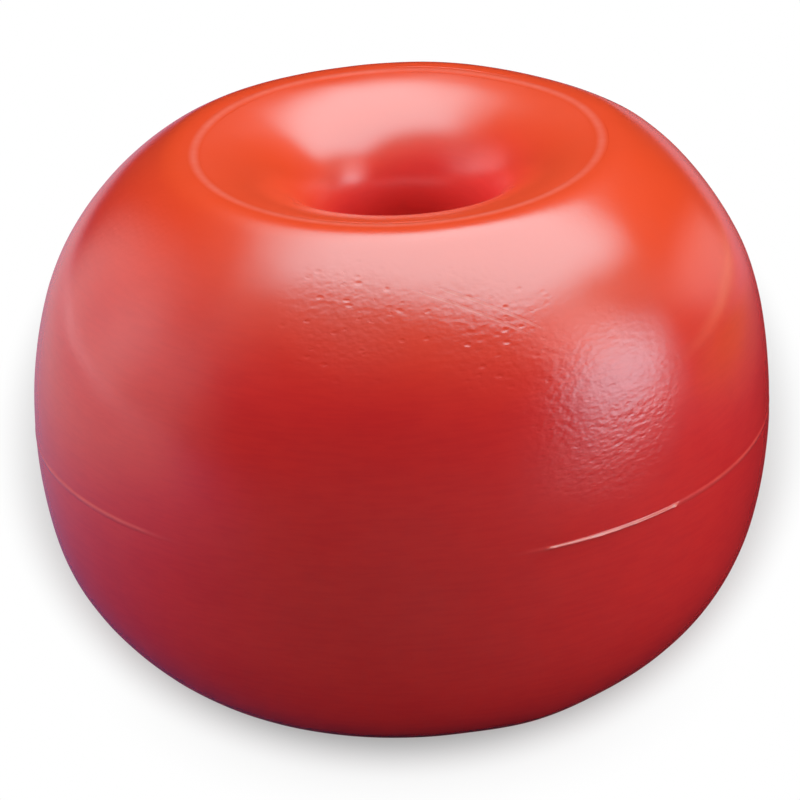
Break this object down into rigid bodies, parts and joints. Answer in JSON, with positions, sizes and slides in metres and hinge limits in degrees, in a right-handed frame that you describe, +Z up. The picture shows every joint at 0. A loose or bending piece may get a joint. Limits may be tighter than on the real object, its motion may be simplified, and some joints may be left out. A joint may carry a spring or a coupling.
{
  "type": "rope line marker float",
  "caption": "Hollow barrel-shaped plastic float with a trumpet-mouthed rope hole through its middle, used to mark and buoy a rope line on water.",
  "frame": {"origin": "centre of the lower rim, on the surface that the float stands on", "axes": "+Z up along the rope hole, -Y towards the front with the thick run of the waist bead to its right"},
  "size_m": [0.2006, 0.2006, 0.1476],
  "materials": {
    "shell_plastic": "glossy orange-red polyethylene with a faint orange peel",
    "funnel_plastic": "glossy orange-red polyethylene",
    "weld_plastic": "glossy orange-red weld bead"
  },
  "bodies": {
    "root": {"upper_shell": "shell_plastic", "lower_shell": "shell_plastic", "top_funnel": "funnel_plastic", "bottom_funnel": "funnel_plastic", "waist_weld": "weld_plastic", "top_ring_weld": "weld_plastic", "bottom_ring_weld": "weld_plastic"}
  },
  "joints": []
}
